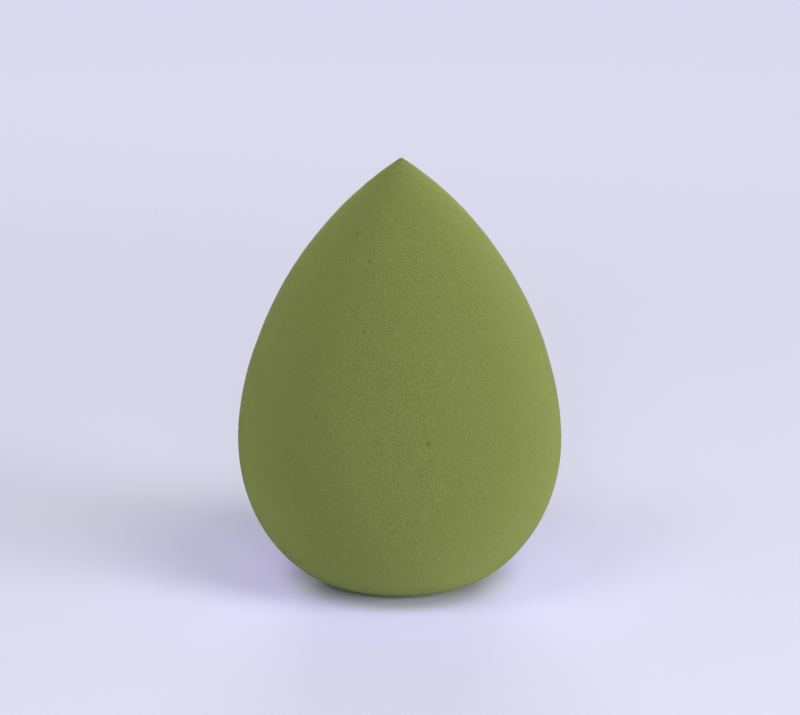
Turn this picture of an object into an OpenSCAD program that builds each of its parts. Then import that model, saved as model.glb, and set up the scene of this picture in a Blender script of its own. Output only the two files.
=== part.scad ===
// Makeup sponge: one solid drop of open-cell foam that stands on a small flat base.
// Its outline is a quarter ellipse from the base up to the widest level, then one smooth
// curve up to a small round tip, and it is turned about the upright axis.
// Millimetres, +Z up, origin at the centre of the base.

/* [Overall] */
// Height from the base to the tip
height = 60; // [50:0.5:80]
// Diameter at the widest level
belly_d = 44.8; // [36:0.2:56]
// Height of the widest level above the base
belly_h = 20.3; // [14:0.1:28]

/* [Base] */
// Diameter of the flat that the sponge stands on
base_d = 12; // [8:0.5:20]

/* [Tip] */
// Angle between the two sides where they meet at the tip, in degrees
tip_angle = 111; // [80:1:130]
// Radius that rounds the tip
tip_r = 0.3; // [0.1:0.1:3]

/* [Side] */
// How far the side keeps going straight up at the widest level before it leans in
belly_pull = 10; // [4:0.5:16]
// How far the side keeps the slope of the tip before it rounds into the belly
tip_pull = 20; // [12:0.5:24]

/* [Smoothness] */
// Steps in each stretch of the outline
outline_steps = 24; // [12:1:48]

/* [Hidden] */
// Facets of a whole turn in the preview
$fn = 120;

belly_r = belly_d / 2;
base_r = base_d / 2;
side_slope = tip_angle / 2;

// Centre of the tip's rounding, on the axis
tip_centre = [0, height - tip_r];
// Directions in the outline's plane, as [outward, up]: straight up, and down along the side of the tip
up = [0, 1];
down_side = [sin(side_slope), -cos(side_slope)];

// The four points that steer the side: two ends and two handles
side_start = [belly_r, belly_h];
side_start_handle = side_start + belly_pull * up;
side_end = tip_centre + tip_r * [cos(side_slope), sin(side_slope)];
side_end_handle = side_end + tip_pull * down_side;

// Shares of the way along a stretch, without its first point, which the stretch before it ends on
function shares() = [for (i = [1:outline_steps]) i / outline_steps];

// Point of a cubic curve with ends a and d and handles b and c
function cubic(a, b, c, d, t) =
    pow(1 - t, 3) * a + 3 * t * pow(1 - t, 2) * b + 3 * t * t * (1 - t) * c + pow(t, 3) * d;

// From the edge of the base, level, round to the widest level, upright
function lower_round() =
    [for (t = shares()) [base_r + (belly_r - base_r) * sin(90 * t), belly_h * (1 - cos(90 * t))]];

// From the widest level up to the tip's rounding
function side() =
    [for (t = shares()) cubic(side_start, side_start_handle, side_end_handle, side_end, t)];

// Over the tip to the axis
function tip_round() =
    [for (t = shares()) let (a = side_slope + (90 - side_slope) * t)
        tip_centre + tip_r * [cos(a), sin(a)]];

// Solid foam, dyed olive green right through
module foam_body() {
    color("#7b8849")
        rotate_extrude()
            polygon(concat([[0, 0], [base_r, 0]], lower_round(), side(), tip_round()));
}

foam_body();
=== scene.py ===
"""Makeup sponge: a teardrop of soft open-cell foam, standing on its base on a plain pale floor.

The CAD solid is the plain drop. This script lays a finer skin over it: a slight lean, the gentle
unevenness of ground foam, the cells that grinding cuts open, and a few larger pinholes.
Lengths are in metres, +Z is up and the origin is the centre of the base.
"""

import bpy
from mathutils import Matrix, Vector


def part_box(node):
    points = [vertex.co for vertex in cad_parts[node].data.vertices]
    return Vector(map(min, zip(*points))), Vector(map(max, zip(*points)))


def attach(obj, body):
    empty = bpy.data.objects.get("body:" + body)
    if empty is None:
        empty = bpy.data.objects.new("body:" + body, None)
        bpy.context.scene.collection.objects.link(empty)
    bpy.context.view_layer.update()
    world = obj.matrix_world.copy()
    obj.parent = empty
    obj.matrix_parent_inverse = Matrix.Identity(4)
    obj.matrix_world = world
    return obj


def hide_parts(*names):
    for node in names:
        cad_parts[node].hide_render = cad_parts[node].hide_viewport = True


bl_info = {
    "name": "Makeup Sponge",
    "version": (1, 0, 0),
    "blender": (4, 5, 0),
    "location": "3D View > Sidebar > Sponge",
    "description": "Builds a teardrop makeup sponge of open-cell foam and the stage it stands on",
    "category": "Object",
}

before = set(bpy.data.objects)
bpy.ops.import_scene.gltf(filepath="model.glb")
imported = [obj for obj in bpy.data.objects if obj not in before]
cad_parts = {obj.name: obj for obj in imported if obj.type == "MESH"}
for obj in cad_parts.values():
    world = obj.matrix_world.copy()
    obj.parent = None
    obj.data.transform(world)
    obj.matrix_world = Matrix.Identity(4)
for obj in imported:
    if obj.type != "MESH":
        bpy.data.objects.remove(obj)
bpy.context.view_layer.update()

import itertools
import math

import bpy
import numpy as np
from bpy.props import FloatProperty, FloatVectorProperty, IntProperty, PointerProperty
from mathutils import Vector

NODE = "foam_body"
MM = 0.001

low_corner, high_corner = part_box(NODE)
SPONGE_HEIGHT = high_corner.z - low_corner.z
SPONGE_WIDTH = high_corner.x - low_corner.x


def linear_colour(code):
    """A colour for the shaders from its sRGB hex code: each channel is put through the sRGB curve."""
    channels = [int(code[place:place + 2], 16) / 255 for place in (1, 3, 5)]
    return tuple(c / 12.92 if c <= 0.04045 else ((c + 0.055) / 1.055) ** 2.4 for c in channels)


# Sizes and colours that a user would change

class SpongeShape(bpy.types.PropertyGroup):
    """The drop's outline and how far the soft foam departs from it."""

    height: FloatProperty(
        name="Height", description="From the base to the tip",
        default=SPONGE_HEIGHT, min=0.04, max=0.09, unit="LENGTH", precision=4)
    width: FloatProperty(
        name="Width", description="Diameter at the widest level",
        default=SPONGE_WIDTH, min=0.03, max=0.07, unit="LENGTH", precision=4)
    widest_level: FloatProperty(
        name="Widest Level", description="Height of the widest level above the base",
        default=20.3 * MM, min=0.01, max=0.03, unit="LENGTH", precision=4)
    base_width: FloatProperty(
        name="Base Width", description="Diameter of the flat that the sponge stands on",
        default=12 * MM, min=0.006, max=0.02, unit="LENGTH", precision=4)
    tip_angle: FloatProperty(
        name="Tip Angle", description="Angle between the two sides where they meet at the tip",
        default=math.radians(111), min=math.radians(80), max=math.radians(130), unit="ROTATION")
    tip_radius: FloatProperty(
        name="Tip Radius", description="Radius that rounds the tip",
        default=0.3 * MM, min=0.0001, max=0.003, unit="LENGTH", precision=4)
    belly_pull: FloatProperty(
        name="Belly Pull", description="How far the side keeps going straight up before it leans in",
        default=10 * MM, min=0.004, max=0.016, unit="LENGTH", precision=4)
    tip_pull: FloatProperty(
        name="Tip Pull", description="How far the side keeps the slope of the tip",
        default=20 * MM, min=0.012, max=0.024, unit="LENGTH", precision=4)
    tip_lean: FloatProperty(
        name="Tip Lean", description="How far the tip leans toward +X from the axis",
        default=0.19 * MM, min=-0.002, max=0.002, unit="LENGTH", precision=5)
    body_lean: FloatProperty(
        name="Body Lean", description="How far the body stands toward +X from the axis",
        default=-0.06 * MM, min=-0.002, max=0.002, unit="LENGTH", precision=5)
    settle: FloatProperty(
        name="Settle", description="How far the foam bulges out close above the base, under its own weight",
        default=0.18 * MM, min=0, max=0.002, unit="LENGTH", precision=5)
    unevenness: FloatProperty(
        name="Unevenness", description="Height of the gentle swells left by grinding the foam",
        default=0.1 * MM, min=0, max=0.001, unit="LENGTH", precision=5)
    steps: IntProperty(
        name="Steps", description="Faces along each side of the six patches of skin",
        default=200, min=20, max=260)


class SpongeFoam(bpy.types.PropertyGroup):
    """The foam's cells and colour."""

    cell_spacing: FloatProperty(
        name="Cell Spacing", description="Distance between the bubbles that grinding cuts open",
        default=0.42 * MM, min=0.0002, max=0.002, unit="LENGTH", precision=5)
    cell_depth: FloatProperty(
        name="Cell Depth", description="Depth of a bubble that is cut through its middle",
        default=0.03 * MM, min=0, max=0.0005, unit="LENGTH", precision=6)
    # Painted light and shade of the grain: the walls get the paler colour and the cells' hollows the darker
    wall_colour: FloatVectorProperty(
        name="Wall Colour", description="Colour of the cut cell walls, which catch the light",
        default=linear_colour("#7b8449"), min=0, max=1, subtype="COLOR")
    gap_colour: FloatVectorProperty(
        name="Gap Colour", description="Colour between the walls, where less light comes back",
        default=linear_colour("#6e773f"), min=0, max=1, subtype="COLOR")
    rim_colour: FloatVectorProperty(
        name="Rim Colour", description="Colour of the light that the thin cell walls scatter at the rims",
        default=linear_colour("#efff9c"), min=0, max=1, subtype="COLOR")
    pore_spacing: FloatProperty(
        name="Pore Spacing", description="Distance between the few larger bubbles, all through the foam",
        default=2.2 * MM, min=0.001, max=0.02, unit="LENGTH", precision=4)
    pore_depth: FloatProperty(
        name="Pore Depth", description="Depth of a larger bubble that is cut through its middle",
        default=0.09 * MM, min=0, max=0.001, unit="LENGTH", precision=5)
    # Painted shade: pores and pinholes are darkened toward this colour by their depth
    pore_painted_shade_colour: FloatVectorProperty(
        name="Pore Colour", description="Colour deep inside a pore, where hardly any light comes back",
        default=linear_colour("#464f24"), min=0, max=1, subtype="COLOR")
    nap_spacing: FloatProperty(
        name="Nap Spacing", description="Distance between the cut cells of the finest grain",
        default=0.25 * MM, min=0.0001, max=0.002, unit="LENGTH", precision=5)
    nap_height: FloatProperty(
        name="Nap Height", description="Height of the cut cell walls in the finest grain",
        default=0.14 * MM, min=0, max=0.002, unit="LENGTH", precision=5)
    worn_nap: FloatProperty(
        name="Worn Nap", description="Share of the nap that still stands on the sides and by the base",
        default=0.5, min=0, max=1)


class SpongeStage(bpy.types.PropertyGroup):
    """The floor, the backdrop and the camera."""

    floor_colour: FloatVectorProperty(
        name="Floor Colour", description="Colour of the pale matt floor",
        default=linear_colour("#e8e8fc"), min=0, max=1, subtype="COLOR")
    backdrop_colour: FloatVectorProperty(
        name="Backdrop Colour", description="Even colour of the backdrop behind the floor",
        default=linear_colour("#dadaee"), min=0, max=1, subtype="COLOR")
    # Painted shade colour: a violet glow on the floor round the sponge, seen by the camera only
    painted_glow_colour: FloatVectorProperty(
        name="Halo Colour", description="Violet tinge of the floor close round the sponge",
        default=linear_colour("#503c7b"), min=0, max=1, subtype="COLOR")
    daylight: FloatProperty(
        name="Daylight", description="Strength of the even light from all round",
        default=0.26, min=0, max=2)
    camera_rise: FloatProperty(
        name="Camera Rise", description="Angle of the camera above the horizon",
        default=math.radians(15), min=0, max=math.radians(80), unit="ROTATION")
    camera_distance: FloatProperty(
        name="Camera Distance", description="From the camera to the sponge",
        default=0.6, min=0.2, max=2, unit="LENGTH")
    lens: FloatProperty(
        name="Lens", description="Focal length on a 36 mm sensor",
        default=195.4, min=20, max=400, unit="CAMERA")


# Shape of the drop

# Points along each of the outline's four stretches
OUTLINE_POINTS = 1200


def drop_outline(shape):
    """Points of the drop's outline from the middle of the base to the tip, as (from the axis, height).

    The base is a straight line, then a quarter ellipse goes out to the widest level. A cubic curve with
    a handle straight up at the widest level, and one down the slope of the tip, goes on to the tip's
    arc, which ends on the axis.
    """
    share = np.linspace(0, 1, OUTLINE_POINTS)[:, None]
    belly, base = shape.width / 2, shape.base_width / 2
    slope = shape.tip_angle / 2
    centre = np.array([0, shape.height - shape.tip_radius])
    start = np.array([belly, shape.widest_level])
    end = centre + shape.tip_radius * np.array([math.cos(slope), math.sin(slope)])
    start_handle = start + shape.belly_pull * np.array([0, 1])
    end_handle = end + shape.tip_pull * np.array([math.sin(slope), -math.cos(slope)])
    quarter = share * math.pi / 2
    flat = share * [base, 0]
    round_below = np.hstack([
        base + (belly - base) * np.sin(quarter),
        shape.widest_level * (1 - np.cos(quarter))])
    side = ((1 - share) ** 3 * start + 3 * share * (1 - share) ** 2 * start_handle
            + 3 * share ** 2 * (1 - share) * end_handle + share ** 3 * end)
    around = slope + share * (math.pi / 2 - slope)
    tip = centre + shape.tip_radius * np.hstack([np.cos(around), np.sin(around)])
    return np.vstack([flat, round_below[1:], side[1:], tip[1:]])


def drop_surface(polar, turn, shape):
    """Places and outward directions on the drop for two angles of a ball.

    polar is the ball's angle up from its lowest point and turn the angle about the upright axis.
    A place on the ball goes to the place on the drop that has the same share of the whole skin
    below it, so small squares on the ball stay small squares of one size on the drop.
    """
    outline = drop_outline(shape)
    step = np.diff(outline, axis=0)
    length = np.hypot(*step.T)
    ring = (outline[1:, 0] + outline[:-1, 0]) / 2 * length
    below = np.concatenate([[0], np.cumsum(ring)]) / ring.sum()
    ball_angle = np.arccos(np.clip(1 - 2 * below, -1, 1))
    radius = np.interp(polar, ball_angle, outline[:, 0])
    height = np.interp(polar, ball_angle, outline[:, 1])
    slant = np.arctan2(step[:, 1], step[:, 0]) - math.pi / 2
    facing = np.interp(polar, (ball_angle[1:] + ball_angle[:-1]) / 2, slant)
    round_x, round_y = np.cos(turn), np.sin(turn)
    place = np.stack([radius * round_x, radius * round_y, height], axis=-1)
    outward = np.stack([
        np.cos(facing) * round_x, np.cos(facing) * round_y, np.sin(facing)], axis=-1)
    return place, outward


# Large odd factors for a lattice corner's three whole numbers and for the salt, and then the shifts
# and factors that stir the bits
CORNER_FACTORS = (0x8DA6B343, 0xD8163841, 0xCB1AB31F)
SALT_FACTOR = 0x9E3779B1
STIRS = ((15, 0x2C1B3C6D), (12, 0x297A2D39))
LAST_SHIFT = 15
LOWEST_32_BITS = 0xFFFFFFFF


def lattice_chance(corner, salt):
    """A chance from 0 to 1 for each corner of a whole-numbered lattice, the same in every run.

    The three whole numbers and the salt are multiplied by their factors and joined by exclusive
    or, and the bits are then stirred twice by a shift and a multiplication, and by a last shift.
    """
    x, y, z = (corner.astype(np.int64) & LOWEST_32_BITS).astype(np.uint32).T
    for_x, for_y, for_z = (np.uint32(factor) for factor in CORNER_FACTORS)
    bits = x * for_x ^ y * for_y ^ z * for_z
    bits ^= np.uint32(salt * SALT_FACTOR & LOWEST_32_BITS)
    for shift, factor in STIRS:
        bits ^= bits >> np.uint32(shift)
        bits *= np.uint32(factor)
    bits ^= bits >> np.uint32(LAST_SHIFT)
    return bits / 2 ** 32


def swells(place, wavelength, salt):
    """Smooth swells and hollows from -1 to 1, about a wavelength from each other.

    Each corner of a cubic lattice has a height by chance, and inside a cube the eight heights are
    blended along each axis by 6t^5 - 15t^4 + 10t^3 of the way t across it.
    """
    corner = np.floor(place / wavelength)
    way = place / wavelength - corner
    blend = way ** 3 * (way * (6 * way - 15) + 10)
    height = np.zeros(len(place))
    for step in itertools.product((0, 1), repeat=3):
        weight = np.prod(np.where(step, blend, 1 - blend), axis=1)
        height += weight * lattice_chance(corner + step, salt)
    return 2 * height - 1


def cut_cells(place, spacing, smallest, largest, salt):
    """How deep each place of the skin lies in the foam's bubbles, from 0 at a rim to 1 at a middle.

    Each cube of a lattice holds one round bubble, its middle moved and its radius chosen by chance,
    from the smallest to the largest. The depth is (1 - q^2)^2 at a distance of q radii from the
    middle, and where bubbles meet the deeper one counts.
    """
    home = np.floor(place / spacing)
    depth = np.zeros(len(place))
    for step in itertools.product((-1, 0, 1), repeat=3):
        cube = home + step
        middle = cube + np.stack([lattice_chance(cube, salt + axis) for axis in (1, 2, 3)], axis=1)
        radius = smallest + (largest - smallest) * lattice_chance(cube, salt)
        away = ((place - middle * spacing) ** 2).sum(axis=1) / radius ** 2
        depth = np.maximum(depth, np.clip(1 - away, 0, 1) ** 2)
    return depth


def rise(value, start, end):
    """A smooth rise from 0 at start to 1 at end, 3t^2 - 2t^3 of the way t between them."""
    way = np.clip((value - start) / (end - start), 0, 1)
    return way * way * (3 - 2 * way)


# Pinholes where a larger bubble was cut open: turn from the front toward +X in degrees,
# height above the base, width and depth in millimetres
PINHOLES = (
    (9.9, 25.6, 0.66, 0.17),
    (-20.4, 48.2, 0.7, 0.11),
    (-36.3, 51.1, 0.7, 0.12),
    (-6.3, 58.4, 0.5, 0.06),
)


def pinholes(place):
    """How deep each place of the skin lies in a pinhole, in metres.

    A pinhole goes in by its depth times (1 - q^2)^2, at a distance of q half widths from its middle.
    """
    depth = np.zeros(len(place))
    radius = np.hypot(place[:, 0], place[:, 1])
    for turn, height, width, deep in PINHOLES:
        level = np.abs(place[:, 2] - height * MM)
        reach = radius[np.argmin(level)]
        angle = math.radians(turn)
        middle = np.array([reach * math.sin(angle), -reach * math.cos(angle), height * MM])
        away = ((place - middle) ** 2).sum(axis=1) / (width * MM / 2) ** 2
        depth = np.maximum(depth, deep * MM * np.clip(1 - away, 0, 1) ** 2)
    return depth


# The six patches of skin: which way each faces, and its two sides, which turn left in that order
PATCHES = (
    ((1, 0, 0), (0, 1, 0), (0, 0, 1)),
    ((-1, 0, 0), (0, -1, 0), (0, 0, 1)),
    ((0, 1, 0), (-1, 0, 0), (0, 0, 1)),
    ((0, -1, 0), (1, 0, 0), (0, 0, 1)),
    ((0, 0, 1), (1, 0, 0), (0, 1, 0)),
    ((0, 0, -1), (0, 1, 0), (1, 0, 0)),
)
# The map has one square for each patch: how many lie side by side and one above another, and the
# empty border of each, as a share of its width
MAP_COLUMNS, MAP_ROWS, MAP_MARGIN = 3, 2, 0.008
# Two patches share a place where their directions are the same when rounded to 1 in this many
ROUND_TO = 1e6


def skin_grid(steps):
    """Directions, faces and map places of the closed skin, six square patches round a ball.

    A patch is a grid of two angles from -45 to 45 degrees, and its direction is the way it faces
    plus the tangent of each angle along its two sides. Places that two patches share become one.
    """
    angle = np.linspace(-math.pi / 4, math.pi / 4, steps + 1)
    across, along = np.meshgrid(np.tan(angle), np.tan(angle), indexing="ij")
    share = np.linspace(MAP_MARGIN, 1 - MAP_MARGIN, steps + 1)
    map_x, map_y = np.meshgrid(share, share, indexing="ij")
    directions, maps = [], []
    for number, (facing, side, up) in enumerate(PATCHES):
        ray = np.multiply.outer(across, side) + np.multiply.outer(along, up) + facing
        directions.append(ray / np.linalg.norm(ray, axis=-1, keepdims=True))
        column, row = number % MAP_COLUMNS, number // MAP_COLUMNS
        maps.append(np.stack([(map_x + column) / MAP_COLUMNS, (map_y + row) / MAP_ROWS], axis=-1))
    direction = np.stack(directions).reshape(-1, 3)
    key = np.round(direction * ROUND_TO).astype(np.int64)
    _, first, same = np.unique(key, axis=0, return_index=True, return_inverse=True)
    number = np.arange(len(direction)).reshape(len(PATCHES), steps + 1, steps + 1)
    corners = np.stack([
        number[:, :-1, :-1], number[:, 1:, :-1], number[:, 1:, 1:], number[:, :-1, 1:]], axis=-1)
    corners = corners.reshape(-1, 4)
    return direction[first], same.reshape(-1)[corners], np.stack(maps).reshape(-1, 2)[corners]


def smooth_mesh(name, place, faces):
    """A smooth mesh from arrays of places and of four corners for each face."""
    mesh = bpy.data.meshes.new(name)
    mesh.vertices.add(len(place))
    mesh.vertices.foreach_set("co", place.astype(np.float32).ravel())
    mesh.loops.add(faces.size)
    mesh.loops.foreach_set("vertex_index", faces.astype(np.int32).ravel())
    mesh.polygons.add(len(faces))
    mesh.polygons.foreach_set("loop_start", np.arange(0, faces.size, 4, dtype=np.int32))
    mesh.update(calc_edges=True)
    mesh.validate()
    mesh.shade_smooth()
    return mesh


# Swells left by grinding: wavelength in millimetres, share of the unevenness, and salt
SWELLS = ((21, 0.6, 92), (9, 0.5, 96), (3.5, 0.15, 32), (1.4, 0.12, 43))
# Up to this level the swells and the lean grow from nothing, so that the base stays flat
FULL_SWELL_LEVEL = 6 * MM
# The lower this power, the closer above the base the settled foam bulges
BULGE_POWER = 0.3
# Smallest and largest radius of a bubble and the salt, among the cells, where the radii are shares
# of their spacing, and among the pores
SMALLEST_CELL, LARGEST_CELL, CELL_SALT = 0.2, 0.6, 51
SMALLEST_PORE, LARGEST_PORE, PORE_SALT = 0.2 * MM, 0.34 * MM, 67
# At this depth the painted shade inside a pore is as dark as it gets
DARKEST_DEPTH = 0.18 * MM
# The nap is worn where the sponge is held, from this turn away from the front or back on, and it
# is worn more and more from this level down to the base, which rubs on what the sponge stands on
HELD_TURN, WORN_LEVEL = math.radians(41), 15 * MM


def sponge_skin(shape, foam):
    """The sponge's skin: places, faces, map places, and what the material reads at each place.

    The drop leans by a smooth share of its height. Swells and hollows move it along its outward
    direction, and fade out toward the base, so that it stays flat. The settled foam bulges by
    sin(pi h^0.3)^2 at a share h of the widest level's height, and nowhere goes below the floor.
    Opened cells, pores and pinholes go in from there. The material reads the depth in the cells and
    in the pores, which it paints as shade, and the share of the nap that stands, which falls with the
    cosine of the turn from the front or back, and evenly with the height close above the base.
    """
    direction, faces, maps = skin_grid(shape.steps)
    polar = np.arccos(np.clip(-direction[:, 2], -1, 1))
    turn = np.arctan2(direction[:, 1], direction[:, 0])
    place, outward = drop_surface(polar, turn, shape)
    off_base = rise(place[:, 2], 0, FULL_SWELL_LEVEL)
    swell = shape.unevenness * sum(
        share * swells(place, wavelength * MM, salt) for wavelength, share, salt in SWELLS)
    bulge = shape.settle * np.sin(
        math.pi * np.clip(place[:, 2] / shape.widest_level, 0, 1) ** BULGE_POWER) ** 2
    spacing = foam.cell_spacing
    cells = cut_cells(place, spacing, SMALLEST_CELL * spacing, LARGEST_CELL * spacing, CELL_SALT)
    pores = cut_cells(place, foam.pore_spacing, SMALLEST_PORE, LARGEST_PORE, PORE_SALT)
    holes = np.maximum(foam.pore_depth * pores, pinholes(place))
    out = swell * off_base + bulge - foam.cell_depth * cells - holes
    lean = shape.body_lean + (shape.tip_lean - shape.body_lean) * rise(
        place[:, 2], shape.widest_level, shape.height)
    place = place + out[:, None] * outward
    place[:, 0] += lean * off_base
    place[:, 2] = np.maximum(place[:, 2], 0)
    held = math.cos(HELD_TURN)
    stands = np.clip((np.abs(np.sin(turn)) - held) / (1 - held), 0, 1)
    stands *= np.clip(place[:, 2] / WORN_LEVEL, 0, 1)
    read = {
        "cell_depth": cells,
        "pore_depth": np.clip(holes / DARKEST_DEPTH, 0, 1),
        "nap_share": foam.worn_nap + (1 - foam.worn_nap) * stands,
    }
    return place, faces, maps, read


# Materials

def add_node(tree, kind, inputs=None, **settings):
    """Adds a node to a tree, with its settings, and its inputs set to a value or linked to a socket."""
    node = tree.nodes.new(kind)
    for name, value in settings.items():
        setattr(node, name, value)
    for name, value in (inputs or {}).items():
        if isinstance(value, bpy.types.NodeSocket):
            tree.links.new(value, node.inputs[name])
        else:
            node.inputs[name].default_value = value
    return node


def new_material(name):
    """An empty material that uses nodes, and its tree."""
    material = bpy.data.materials.new(name)
    material.use_nodes = True
    material.node_tree.nodes.clear()
    return material, material.node_tree


# Share of wall colour at the middle of a cell of the grain, and how much it grows by one spacing
# farther out, so that the hollow middle of each cell gets painted shade and its rim painted light
MIDDLE_WALL, WALL_GROWTH = -0.4, 1.6
# Each cell adds up to this share by chance, which grows between these two of its random numbers
CHANCE_WALL, LOW_CHANCE, HIGH_CHANCE = 0.35, 0.2, 0.8
# What the middle of a bubble that grinding opened adds to the share, as painted shade in its hollow
OPENED_WALL = -0.5
# Share of wall colour in the foam as a whole, which worn nap comes closer to
MEAN_WALL = 0.5
# The nap stands up in some patches and lies flatter in others, about this far from each other
NAP_PATCHES = 5 * MM
# Its height goes from the lying to the standing share between these two values of the patches' noise
LYING_NAP, STANDING_NAP, LOW_NOISE, HIGH_NOISE = 0.6, 1.0, 0.3, 0.7
# Worn nap is as high as this power of the share of it that still stands
WORN_HEIGHT_POWER = 0.5


def ground_polyurethane_foam(foam):
    """Open-cell polyurethane foam, dyed in the block and ground to shape.

    Grinding leaves a dry matt nap of cut cell walls: a fine even grain, a soft rim, and colour that
    hardly varies, because the foam is dyed right through. The grain's colour is painted light and
    painted shade, paler on the cut walls and darker in the cells' hollows, with a little tone that
    differs at random. On the two sides, where the sponge is held, and by the base the nap is worn and
    the grain is milder. The cut walls have no smooth face that could mirror a lamp, so hardly any
    highlight is left. Real cells are about 0.15 mm across, one pixel of the picture, so the grain is
    drawn at 0.25 mm, no coarser than it has to be to show.
    """
    material, tree = new_material("ground_polyurethane_foam")
    cell_depth, nap, pore_depth = (
        add_node(tree, "ShaderNodeAttribute", attribute_name=name, attribute_type="GEOMETRY").outputs["Fac"]
        for name in ("cell_depth", "nap_share", "pore_depth"))
    place = add_node(tree, "ShaderNodeTexCoord").outputs["Object"]
    cells = add_node(tree, "ShaderNodeTexVoronoi", {
        "Vector": place, "Scale": 1 / foam.nap_spacing}, feature="F1")
    chance = add_node(tree, "ShaderNodeMapRange", {
        "Value": cells.outputs["Color"], "From Min": LOW_CHANCE, "From Max": HIGH_CHANCE,
        "To Max": CHANCE_WALL})
    wall = add_node(tree, "ShaderNodeMath", {
        0: cells.outputs["Distance"], 1: WALL_GROWTH, 2: MIDDLE_WALL}, operation="MULTIPLY_ADD")
    upper = add_node(tree, "ShaderNodeMath", {0: chance.outputs[0], 1: wall.outputs[0]}, operation="ADD")
    share = add_node(tree, "ShaderNodeMath", {
        0: cell_depth, 1: OPENED_WALL, 2: upper.outputs[0]}, operation="MULTIPLY_ADD", use_clamp=True)
    apart = add_node(tree, "ShaderNodeMath", {0: share.outputs[0], 1: MEAN_WALL}, operation="SUBTRACT")
    milder = add_node(tree, "ShaderNodeMath", {
        0: apart.outputs[0], 1: nap, 2: MEAN_WALL}, operation="MULTIPLY_ADD")
    # Painted shade in the cells' hollows and painted light on their walls, with some random tone
    dye_and_painted_shade = add_node(tree, "ShaderNodeMix", {
        "Factor": milder.outputs[0], "A": (*foam.gap_colour, 1), "B": (*foam.wall_colour, 1)},
        data_type="RGBA")
    # Painted shade inside pores and pinholes, the darker the deeper
    shaded = add_node(tree, "ShaderNodeMix", {
        "Factor": pore_depth, "A": dye_and_painted_shade.outputs["Result"], "B": (*foam.pore_painted_shade_colour, 1)},
        data_type="RGBA")
    patches = add_node(tree, "ShaderNodeTexNoise", {
        "Vector": place, "Scale": 1 / NAP_PATCHES, "Detail": 1.0})
    strength = add_node(tree, "ShaderNodeMapRange", {
        "Value": patches.outputs["Fac"], "From Min": LOW_NOISE, "From Max": HIGH_NOISE,
        "To Min": LYING_NAP, "To Max": STANDING_NAP})
    worn_height = add_node(tree, "ShaderNodeMath", {0: nap, 1: WORN_HEIGHT_POWER}, operation="POWER")
    standing = add_node(tree, "ShaderNodeMath", {
        0: strength.outputs[0], 1: worn_height.outputs[0]}, operation="MULTIPLY")
    bump = add_node(tree, "ShaderNodeBump", {
        "Strength": standing.outputs[0], "Distance": foam.nap_height, "Height": cells.outputs["Distance"]})
    skin = add_node(tree, "ShaderNodeBsdfPrincipled", {
        "Base Color": shaded.outputs["Result"], "Roughness": 0.95, "Diffuse Roughness": 1.0,
        "IOR": 1.5, "Specular IOR Level": 0.05, "Sheen Weight": 0.13, "Sheen Roughness": 0.6,
        "Sheen Tint": (*foam.rim_colour, 1), "Normal": bump.outputs["Normal"]})
    add_node(tree, "ShaderNodeOutputMaterial", {"Surface": skin.outputs["BSDF"]})
    return material


def to_camera(tree):
    """A socket that is 1 for the rays that show their surface in the picture.

    They come straight from the camera, by a mirroring surface or through glass.
    """
    path = add_node(tree, "ShaderNodeLightPath")
    mirrored = add_node(tree, "ShaderNodeMath", {
        0: path.outputs["Is Camera Ray"], 1: path.outputs["Is Glossy Ray"]}, operation="MAXIMUM")
    return add_node(tree, "ShaderNodeMath", {
        0: mirrored.outputs[0], 1: path.outputs["Is Transmission Ray"]}, operation="MAXIMUM").outputs[0]


# From the upright axis: where the backdrop's even colour starts to show on the floor, and where
# the camera sees nothing else
EVEN_START, EVEN_FULL = 0.1, 0.4
# From the upright axis: where the painted violet glow starts, is full, and has faded out, and the
# power of the way left that it fades by. The glow is painted shade colour, in place of the violet
# hue of the floor's shade round the sponge
PAINTED_GLOW_START, PAINTED_GLOW_FULL, PAINTED_GLOW_END, PAINTED_GLOW_POWER = 12 * MM, 18 * MM, 60 * MM, 2.0


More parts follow.
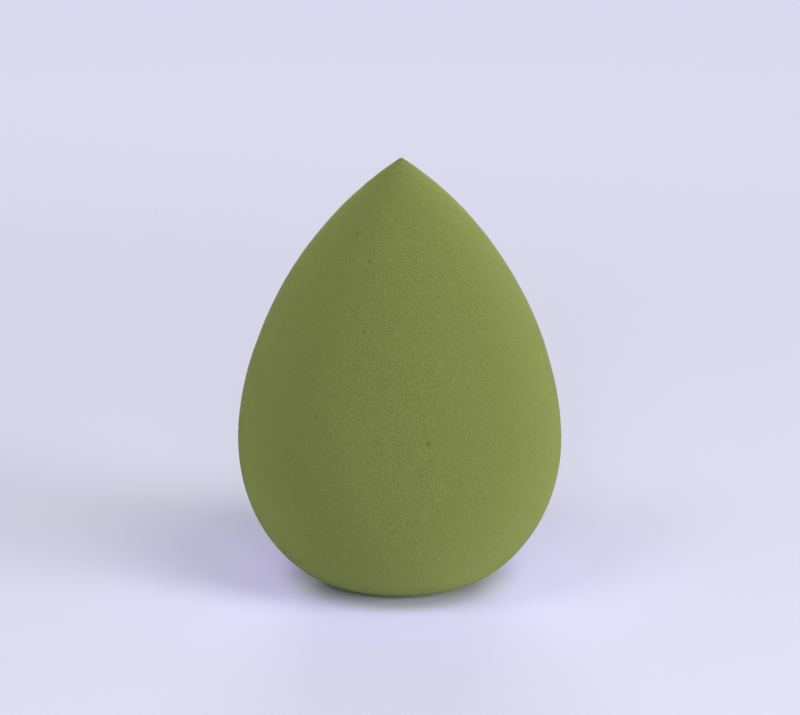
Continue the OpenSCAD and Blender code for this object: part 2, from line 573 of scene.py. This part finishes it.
def pale_matt_floor(stage):
    """Matt paper, pale lilac. It takes the light and the shadow near the sponge, and far from it
    the camera sees the even colour of the backdrop instead.

    Close round the sponge the camera also sees a painted violet glow, which stands in for the violet
    hue of the floor's shade there and lights nothing. It comes in smoothly, and then fades as the
    square of the share of the way that is left to its end.
    """
    material, tree = new_material("pale_matt_paper")
    place = add_node(tree, "ShaderNodeTexCoord").outputs["Object"]
    away = add_node(tree, "ShaderNodeVectorMath", {0: place}, operation="LENGTH")
    far = add_node(tree, "ShaderNodeMapRange", {
        "Value": away.outputs["Value"], "From Min": EVEN_START, "From Max": EVEN_FULL},
        interpolation_type="SMOOTHSTEP")
    seen = to_camera(tree)
    shown = add_node(tree, "ShaderNodeMath", {0: far.outputs[0], 1: seen}, operation="MULTIPLY")
    paper = add_node(tree, "ShaderNodeBsdfDiffuse", {"Color": (*stage.floor_colour, 1)})
    even = add_node(tree, "ShaderNodeEmission", {"Color": (*stage.backdrop_colour, 1)})
    mixed = add_node(tree, "ShaderNodeMixShader", {
        0: shown.outputs[0], 1: paper.outputs[0], 2: even.outputs[0]})
    # Painted violet glow round the sponge, seen by the camera only, in place of the hue of the shade there
    start = add_node(tree, "ShaderNodeMapRange", {
        "Value": away.outputs["Value"], "From Min": PAINTED_GLOW_START, "From Max": PAINTED_GLOW_FULL},
        interpolation_type="SMOOTHSTEP")
    left = add_node(tree, "ShaderNodeMapRange", {
        "Value": away.outputs["Value"], "From Min": PAINTED_GLOW_END, "From Max": PAINTED_GLOW_FULL})
    fade = add_node(tree, "ShaderNodeMath", {0: left.outputs[0], 1: PAINTED_GLOW_POWER}, operation="POWER")
    ring = add_node(tree, "ShaderNodeMath", {
        0: start.outputs[0], 1: fade.outputs[0]}, operation="MULTIPLY")
    strength = add_node(tree, "ShaderNodeMath", {0: ring.outputs[0], 1: seen}, operation="MULTIPLY")
    painted_glow = add_node(tree, "ShaderNodeEmission", {
        "Color": (*stage.painted_glow_colour, 1), "Strength": strength.outputs[0]})
    whole = add_node(tree, "ShaderNodeAddShader", {0: mixed.outputs[0], 1: painted_glow.outputs[0]})
    add_node(tree, "ShaderNodeOutputMaterial", {"Surface": whole.outputs[0]})
    return material


def even_backdrop(stage):
    """Backdrop of one even colour, which lights nothing."""
    material, tree = new_material("even_backdrop")
    even = add_node(tree, "ShaderNodeEmission", {
        "Color": (*stage.backdrop_colour, 1), "Strength": to_camera(tree)})
    add_node(tree, "ShaderNodeOutputMaterial", {"Surface": even.outputs[0]})
    return material


# Stage

# The floor ends at its radius, and the backdrop sweeps up from there by a quarter circle
FLOOR_RADIUS, SWEEP_RADIUS = 1.2, 0.6
BACKDROP_HEIGHT = 3 * SWEEP_RADIUS
# The hole in the floor's middle, under the sponge
FLOOR_HOLE = 0.0001
# Rings of the floor and of the sweep, and steps round both
FLOOR_RINGS, SWEEP_RINGS, STAGE_STEPS = 40, 30, 96


def round_sheet(name, distance, height):
    """A round sheet: its outline, as arrays of distance and height, turned about the upright axis."""
    turn = np.linspace(0, 2 * math.pi, STAGE_STEPS, endpoint=False)
    place = np.stack([
        np.multiply.outer(distance, np.cos(turn)),
        np.multiply.outer(distance, np.sin(turn)),
        np.multiply.outer(height, np.ones(STAGE_STEPS))], axis=-1)
    number = np.arange(len(distance) * STAGE_STEPS).reshape(len(distance), STAGE_STEPS)
    after = np.roll(number, -1, axis=1)
    faces = np.stack([number[:-1], number[1:], after[1:], after[:-1]], axis=-1)
    return smooth_mesh(name, place.reshape(-1, 3), faces.reshape(-1, 4))


def show(name, mesh, material):
    """Puts a mesh with its material into the scene as an object at the origin."""
    mesh.materials.append(material)
    piece = bpy.data.objects.new(name, mesh)
    bpy.context.scene.collection.objects.link(piece)
    return piece


# Soft lamps: turn from the front toward +X and rise above the horizon in degrees, distance, width
# and height in metres, and power in watts
SOFT_LAMPS = {
    "key_softbox": (60, 12, 0.9, 0.38, 0.38, 4.5),
    "front_softbox": (0, 20, 0.9, 0.38, 0.38, 2.7),
    "high_left_softbox": (-45, 52, 0.9, 0.38, 0.38, 1.3),
    "high_right_softbox": (45, 52, 0.9, 0.38, 0.38, 2.0),
    "back_strip": (180, 5, 0.9, 0.38, 0.16, 7.4),
}
MIDDLE = Vector((0, 0, 30 * MM))


def toward(turn, elevation):
    """The direction from the sponge at a turn from the front toward +X and a rise above the horizon."""
    return Vector((
        math.sin(turn) * math.cos(elevation), -math.cos(turn) * math.cos(elevation), math.sin(elevation)))


def aim(piece, place, target):
    """Puts a lamp or camera at a place, looking at a target and standing upright."""
    piece.location = place
    piece.rotation_mode = "QUATERNION"
    piece.rotation_quaternion = (target - place).to_track_quat("-Z", "Y")
    bpy.context.scene.collection.objects.link(piece)


def add_lamp(name, turn, elevation, distance, width, height, power):
    """A white area lamp that faces the sponge and isn't seen itself."""
    light = bpy.data.lights.new(name, "AREA")
    light.shape = "RECTANGLE"
    light.size, light.size_y, light.energy = width, height, power
    lamp = bpy.data.objects.new(name, light)
    lamp.visible_camera = False
    place = MIDDLE + distance * toward(math.radians(turn), math.radians(elevation))
    aim(lamp, place, MIDDLE)


def add_world(stage):
    """Even daylight from all round. The camera sees the backdrop's colour instead of it."""
    world = bpy.data.worlds.new("even_daylight")
    bpy.context.scene.world = world
    world.use_nodes = True
    tree = world.node_tree
    tree.nodes.clear()
    light = add_node(tree, "ShaderNodeBackground", {"Color": (1, 1, 1, 1), "Strength": stage.daylight})
    seen = add_node(tree, "ShaderNodeBackground", {"Color": (*stage.backdrop_colour, 1)})
    mixed = add_node(tree, "ShaderNodeMixShader", {
        0: to_camera(tree), 1: light.outputs[0], 2: seen.outputs[0]})
    add_node(tree, "ShaderNodeOutputWorld", {"Surface": mixed.outputs[0]})


# The camera looks this far above the sponge's middle, which frames the sponge as in the picture
AIM_ABOVE_MIDDLE = 1.8 * MM
# Width of its sensor in millimetres, and the nearest and farthest that it sees, in metres
SENSOR_WIDTH, NEAREST, FARTHEST = 36, 0.01, 10


def add_camera(stage):
    """The camera in front of the sponge, raised above the horizon."""
    data = bpy.data.cameras.new("camera")
    data.lens, data.sensor_width = stage.lens, SENSOR_WIDTH
    data.clip_start, data.clip_end = NEAREST, FARTHEST
    camera = bpy.data.objects.new("camera", data)
    place = MIDDLE + stage.camera_distance * toward(0, stage.camera_rise)
    aim(camera, place, MIDDLE + Vector((0, 0, AIM_ABOVE_MIDDLE)))
    bpy.context.scene.camera = camera


# Operators

class BuildFoamSponge(bpy.types.Operator):
    """Build the sponge's skin of ground foam over the CAD drop"""

    bl_idname = "sponge.build_foam"
    bl_label = "Foam Sponge"

    def execute(self, context):
        shape, foam = context.scene.sponge_shape, context.scene.sponge_foam
        place, faces, maps, read = sponge_skin(shape, foam)
        mesh = smooth_mesh("sponge_foam", place, faces)
        skin_map = mesh.uv_layers.new(name="OFBake")
        skin_map.uv.foreach_set("vector", maps.astype(np.float32).ravel())
        for name, value in read.items():
            attribute = mesh.attributes.new(name, "FLOAT", "POINT")
            attribute.data.foreach_set("value", value.astype(np.float32))
        piece = show("sponge_foam", mesh, ground_polyurethane_foam(foam))
        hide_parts(NODE)
        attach(piece, "root")
        return {"FINISHED"}


class BuildSpongeStage(bpy.types.Operator):
    """Build the pale floor, the backdrop, the soft lamps and the camera"""

    bl_idname = "sponge.build_stage"
    bl_label = "Stage"

    def execute(self, context):
        stage = context.scene.sponge_stage
        flat = np.linspace(FLOOR_HOLE, FLOOR_RADIUS, FLOOR_RINGS)
        floor = show("floor", round_sheet("floor", flat[::-1], 0 * flat), pale_matt_floor(stage))
        angle = np.linspace(math.pi / 2, 0, SWEEP_RINGS)
        distance = np.append(FLOOR_RADIUS + SWEEP_RADIUS * np.cos(angle), FLOOR_RADIUS + SWEEP_RADIUS)
        height = np.append(SWEEP_RADIUS * (1 - np.sin(angle)), BACKDROP_HEIGHT)
        backdrop = show("backdrop", round_sheet("backdrop", distance, height), even_backdrop(stage))
        backdrop.visible_diffuse = False
        backdrop.visible_shadow = False
        for name, settings in SOFT_LAMPS.items():
            add_lamp(name, *settings)
        add_world(stage)
        add_camera(stage)
        context.scene.view_settings.view_transform = "Standard"
        return {"FINISHED"}


class SpongePanel(bpy.types.Panel):
    """Lists the sponge's settings and its operators"""

    bl_idname = "SPONGE_PT_builder"
    bl_label = "Makeup Sponge"
    bl_space_type = "VIEW_3D"
    bl_region_type = "UI"
    bl_category = "Sponge"

    def draw(self, context):
        layout = self.layout
        for group in GROUPS:
            settings = getattr(context.scene, group)
            for name in settings.bl_rna.properties.keys():
                if name not in ("rna_type", "name"):
                    layout.prop(settings, name)
        for operator in (BuildFoamSponge, BuildSpongeStage):
            layout.operator(operator.bl_idname)


GROUPS = {"sponge_shape": SpongeShape, "sponge_foam": SpongeFoam, "sponge_stage": SpongeStage}
CLASSES = (*GROUPS.values(), BuildFoamSponge, BuildSpongeStage, SpongePanel)


def register():
    for cls in CLASSES:
        bpy.utils.register_class(cls)
    for name, group in GROUPS.items():
        setattr(bpy.types.Scene, name, PointerProperty(type=group))


def unregister():
    for name in GROUPS:
        delattr(bpy.types.Scene, name)
    for cls in reversed(CLASSES):
        bpy.utils.unregister_class(cls)


def main():
    register()
    bpy.ops.sponge.build_foam()
    bpy.ops.sponge.build_stage()


if __name__ == "__main__":
    main()
